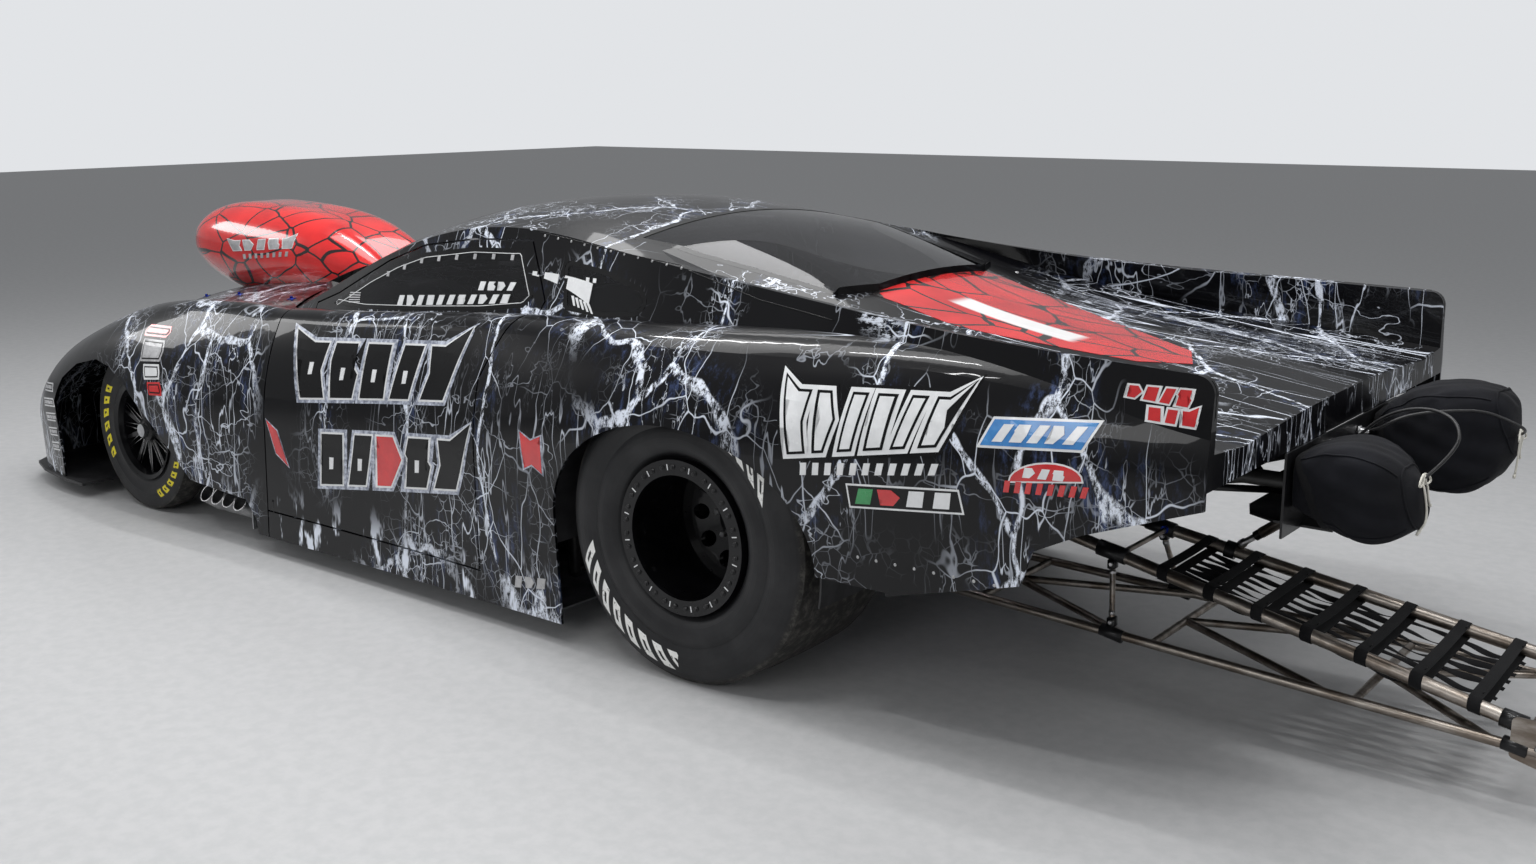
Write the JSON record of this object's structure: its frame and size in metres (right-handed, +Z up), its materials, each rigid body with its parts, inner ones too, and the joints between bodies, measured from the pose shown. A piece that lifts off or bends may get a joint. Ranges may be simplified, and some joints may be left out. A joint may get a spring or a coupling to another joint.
{
  "type": "drag racing car",
  "caption": "Low coupe drag racing car with a big forward scoop, very wide rear tyres, narrow steered front wheels, side exhaust pipes, twin parachute packs and a wheelie bar.",
  "frame": {"origin": "on the ground, below the middle of the overall length and width", "axes": "+X to the nose, +Y to the car's left, +Z up"},
  "size_m": [6.32, 1.907, 1.2919],
  "materials": {
    "paint_black": "gloss black with white veins",
    "paint_red": "gloss red with a black line pattern",
    "black_composite": "satin",
    "sheet_aluminium": "brushed",
    "frame_tube": "satin black",
    "smoked_glass": "smoked",
    "machined_aluminium": "machined",
    "bright_steel": "bright",
    "cast_block": "cast",
    "bare_steel": "bare, slightly browned",
    "matt_black": "matt",
    "webbing": "woven",
    "black_metal": "satin black",
    "bag_fabric": "coated weave",
    "cable_sleeve": "satin",
    "solid_tyre": "matt",
    "black_wheel": "gloss black, machined edges",
    "tyre": "matt"
  },
  "bodies": {
    "chassis": {"body_shell": "paint_black", "front_clip": "paint_black", "front_splitter": "black_composite", "hood_scoop": "paint_red", "wheel_tubs": "black_composite", "floor_pan": "sheet_aluminium", "frame_left": "frame_tube", "frame_right": "frame_tube", "tail_frame": "frame_tube", "frame_rails": "frame_tube", "frame_cross_tubes": "frame_tube", "windshield": "smoked_glass", "rear_window": "smoked_glass", "quarter_windows": "smoked_glass", "front_struts": "machined_aluminium", "front_arms": "frame_tube", "rack_housing": "machined_aluminium", "rear_axle": "frame_tube", "four_link": "bright_steel", "rear_shocks": "machined_aluminium", "driveshaft": "bright_steel", "engine_block": "cast_block", "header_pipes": "bare_steel", "seat": "black_composite", "dash_panel": "black_composite", "wheelie_frame": "bare_steel", "wheelie_net": "webbing", "parachute_mount": "black_metal", "parachute_bag_left": "bag_fabric", "parachute_bag_right": "bag_fabric", "release_cable_left": "cable_sleeve", "release_cable_right": "cable_sleeve"},
    "rack": {"rack_bar": "bright_steel"},
    "knuckle_left": {"knuckle_left": "machined_aluminium"},
    "knuckle_right": {"knuckle_right": "machined_aluminium"},
    "wheel_front_left": {"front_wheel_left": "black_wheel", "front_tyre_left": "tyre"},
    "wheel_front_right": {"front_wheel_right": "black_wheel", "front_tyre_right": "tyre"},
    "wheel_rear_left": {"rear_wheel_left": "black_wheel", "rear_tyre_left": "tyre"},
    "wheel_rear_right": {"rear_wheel_right": "black_wheel", "rear_tyre_right": "tyre"},
    "door_left": {"door_left": "paint_black", "door_window_left": "smoked_glass"},
    "door_right": {"door_right": "paint_black", "door_window_right": "smoked_glass"},
    "steering_wheel": {"steering_wheel": "matt_black"},
    "wheelie_left": {"wheelie_wheel_left": "solid_tyre"},
    "wheelie_right": {"wheelie_wheel_right": "solid_tyre"}
  },
  "joints": [
    {"name": "steer_left", "type": "hinge", "parent": "chassis", "child": "knuckle_left", "pos_m": [2.09, 0.67, 0.326], "axis": [0, 0, 1], "range_deg": [-14, 14]},
    {"name": "steer_right", "type": "hinge", "parent": "chassis", "child": "knuckle_right", "pos_m": [2.09, -0.67, 0.326], "axis": [0, 0, 1], "range_deg": [-14.5, 14.5]},
    {"name": "spin_front_left", "type": "hinge", "parent": "knuckle_left", "child": "wheel_front_left", "pos_m": [2.09, 0.78, 0.326], "axis": [0, 1, 0], "continuous": true},
    {"name": "spin_front_right", "type": "hinge", "parent": "knuckle_right", "child": "wheel_front_right", "pos_m": [2.09, -0.78, 0.326], "axis": [0, 1, 0], "continuous": true},
    {"name": "spin_rear_left", "type": "hinge", "parent": "chassis", "child": "wheel_rear_left", "pos_m": [-0.86, 0.695, 0.43], "axis": [0, 1, 0], "continuous": true},
    {"name": "spin_rear_right", "type": "hinge", "parent": "chassis", "child": "wheel_rear_right", "pos_m": [-0.86, -0.695, 0.43], "axis": [0, 1, 0], "continuous": true},
    {"name": "rack_slide", "type": "slide", "parent": "chassis", "child": "rack", "axis": [0, 1, 0], "range_m": [-0.034, 0.034]},
    {"name": "steering_wheel_turn", "type": "hinge", "parent": "chassis", "child": "steering_wheel", "pos_m": [0.54, 0.3, 0.76], "axis": [-0.96, 0, 0.28], "range_deg": [-113, 113]},
    {"name": "door_left_hinge", "type": "hinge", "parent": "chassis", "child": "door_left", "pos_m": [1.107, 0.8965, 0.2], "axis": [0, 0, -1], "range_deg": [0, 60]},
    {"name": "door_right_hinge", "type": "hinge", "parent": "chassis", "child": "door_right", "pos_m": [1.107, -0.8965, 0.2], "axis": [0, 0, 1], "range_deg": [0, 60]},
    {"name": "spin_wheelie_left", "type": "hinge", "parent": "chassis", "child": "wheelie_left", "pos_m": [-3.11, 0.295, 0.125], "axis": [0, 1, 0], "continuous": true},
    {"name": "spin_wheelie_right", "type": "hinge", "parent": "chassis", "child": "wheelie_right", "pos_m": [-3.11, -0.295, 0.125], "axis": [0, 1, 0], "continuous": true}
  ],
  "couplings": [
    {"joint": "steer_right", "follows": "steer_left", "ratio": 1},
    {"joint": "rack_slide", "follows": "steer_left", "m_per_rad": 0.1287},
    {"joint": "steering_wheel_turn", "follows": "steer_left", "ratio": 8},
    {"joint": "spin_rear_right", "follows": "spin_rear_left", "ratio": 1}
  ]
}
